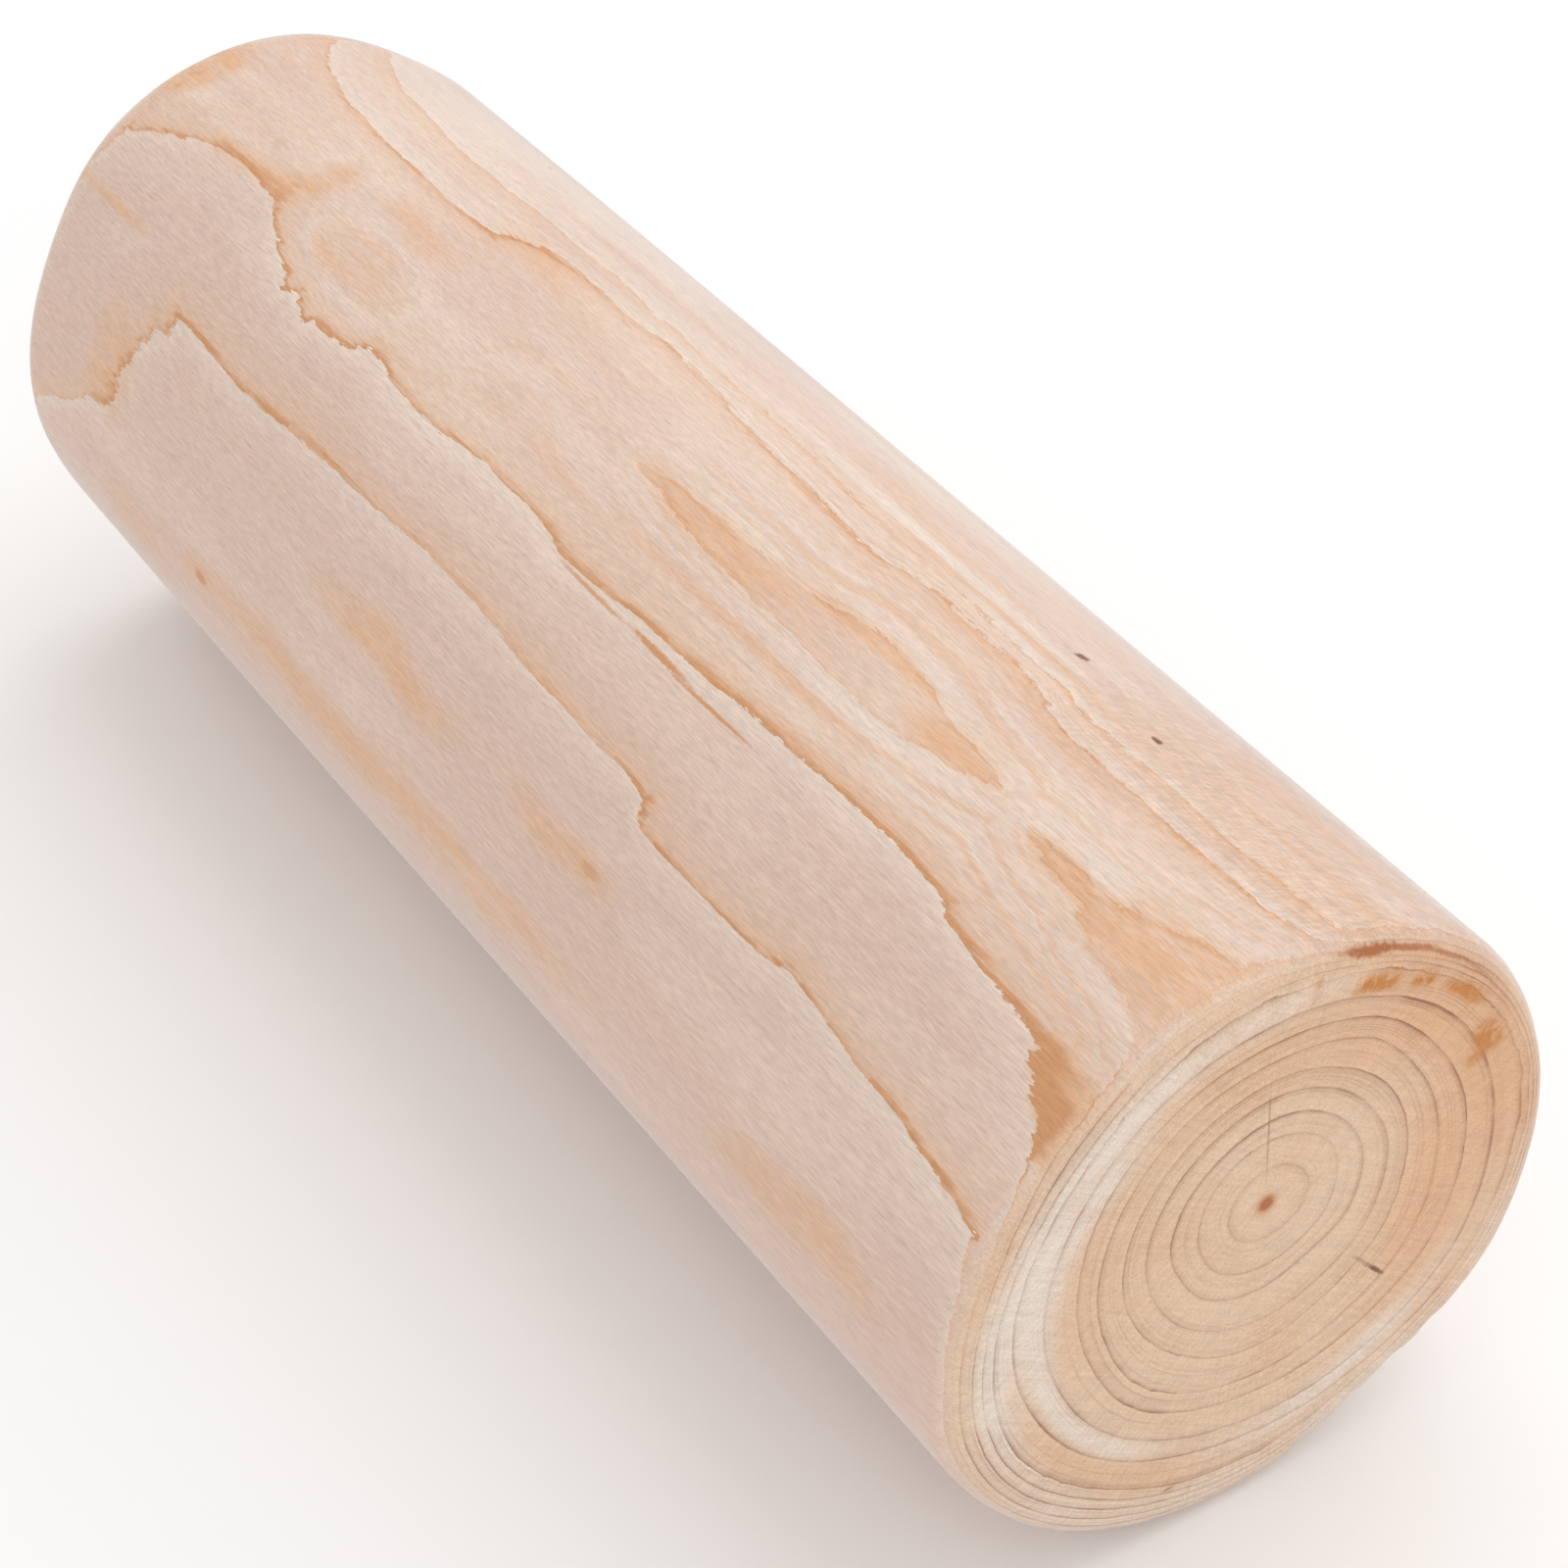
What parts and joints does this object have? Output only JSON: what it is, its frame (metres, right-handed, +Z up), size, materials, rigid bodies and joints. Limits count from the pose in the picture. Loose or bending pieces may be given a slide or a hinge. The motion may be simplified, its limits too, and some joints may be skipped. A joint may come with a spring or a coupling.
{
  "type": "tree stump, a peeled softwood log section",
  "caption": "Short section of peeled, sanded softwood log lying on its side, with growth rings on its sawn ends, as a seat block, prop, stand or craft blank.",
  "frame": {"origin": "bottom centre of the log's box, on the surface it rests on", "axes": "+X along the log towards the sawn end with the wear on its rim, +Y across it, +Z up, away from the flat it rests on"},
  "size_m": [0.2842, 0.1012, 0.1009],
  "materials": {
    "wood": "peeled and sanded bare softwood, matte"
  },
  "bodies": {
    "root": {"stump_log": "wood"}
  },
  "joints": []
}
